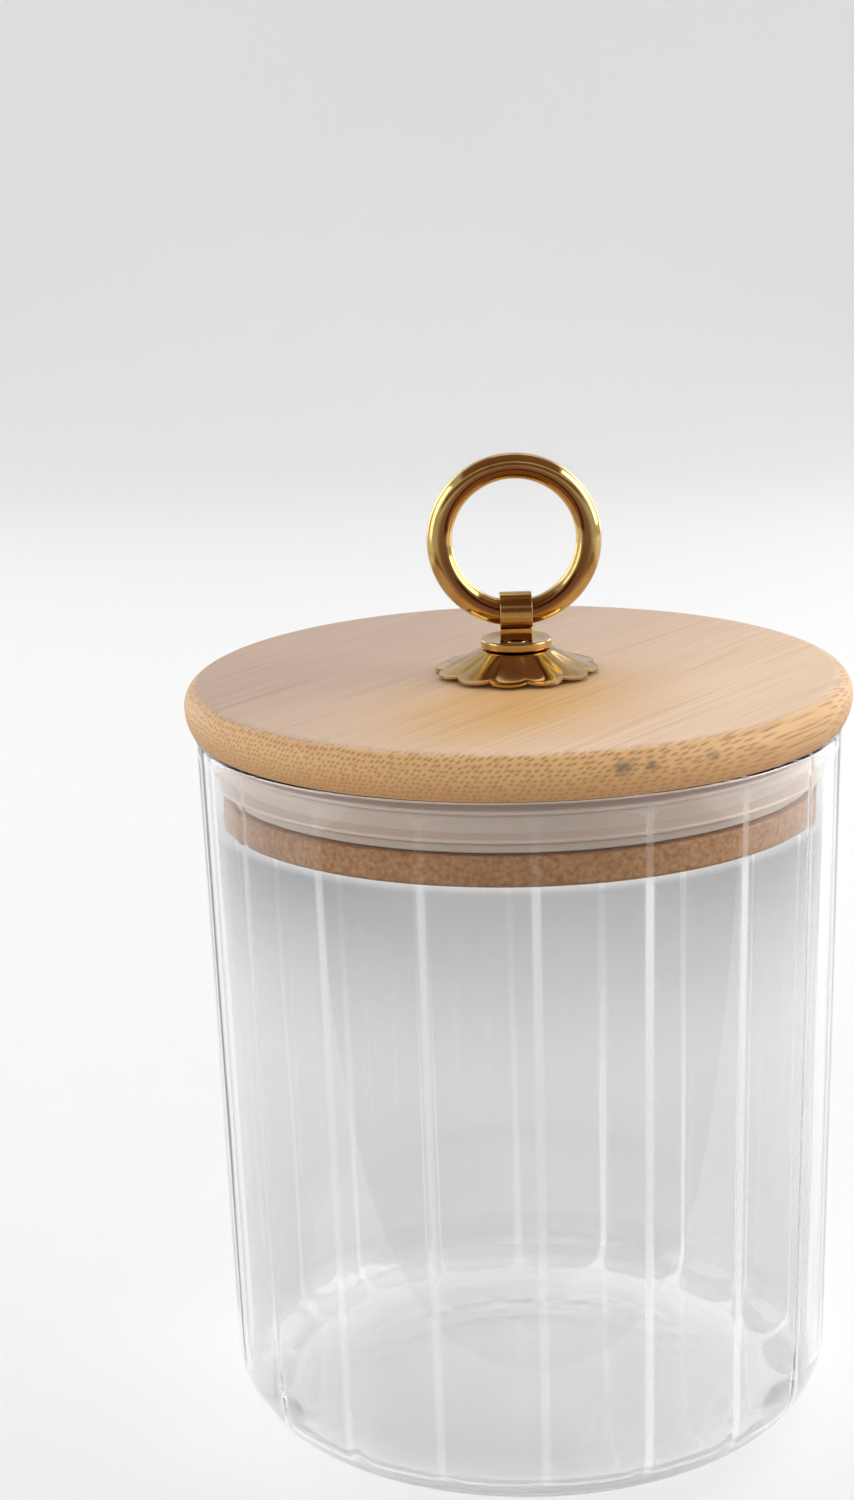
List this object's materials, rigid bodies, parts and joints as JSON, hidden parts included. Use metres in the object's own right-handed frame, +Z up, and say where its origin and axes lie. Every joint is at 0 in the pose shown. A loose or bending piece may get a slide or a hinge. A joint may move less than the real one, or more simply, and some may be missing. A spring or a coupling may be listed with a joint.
{
  "type": "apothecary jar",
  "caption": "Ribbed glass storage jar with a bamboo plug lid, a silicone seal and a swinging brass ring pull on a flower-shaped plate.",
  "frame": {"origin": "middle of the foot, on the surface that the jar stands on", "axes": "+Z up along the jar's axis, -Y towards the front, +X to the right"},
  "size_m": [0.104, 0.104, 0.1558],
  "materials": {
    "glass": "clear, smooth outside, fine ribs inside",
    "bamboo": "sanded bamboo, satin, straight grain",
    "silicone": "translucent, satin",
    "brass": "polished and lightly aged",
    "steel": "zinc plated"
  },
  "bodies": {
    "jar": {"glass_jar": "glass"},
    "seal": {"seal_ring": "silicone"},
    "lid": {"bamboo_lid": "bamboo", "rosette_plate": "brass", "collar_washer": "brass", "eye_post": "brass", "stud_washer": "steel", "stud_nut": "steel"},
    "ring": {"pull_ring": "brass"}
  },
  "joints": [
    {"name": "lid_lift", "type": "slide", "parent": "jar", "child": "seal", "axis": [0, 0, 1], "range_m": [0, 0.1]},
    {"name": "lid_turn", "type": "hinge", "parent": "seal", "child": "lid", "pos_m": [0, 0, 0.1143], "axis": [0, 0, 1], "continuous": true},
    {"name": "ring_swing", "type": "hinge", "parent": "lid", "child": "ring", "pos_m": [0, 0, 0.1307], "axis": [1, 0, 0], "range_deg": [-107, 107]}
  ]
}
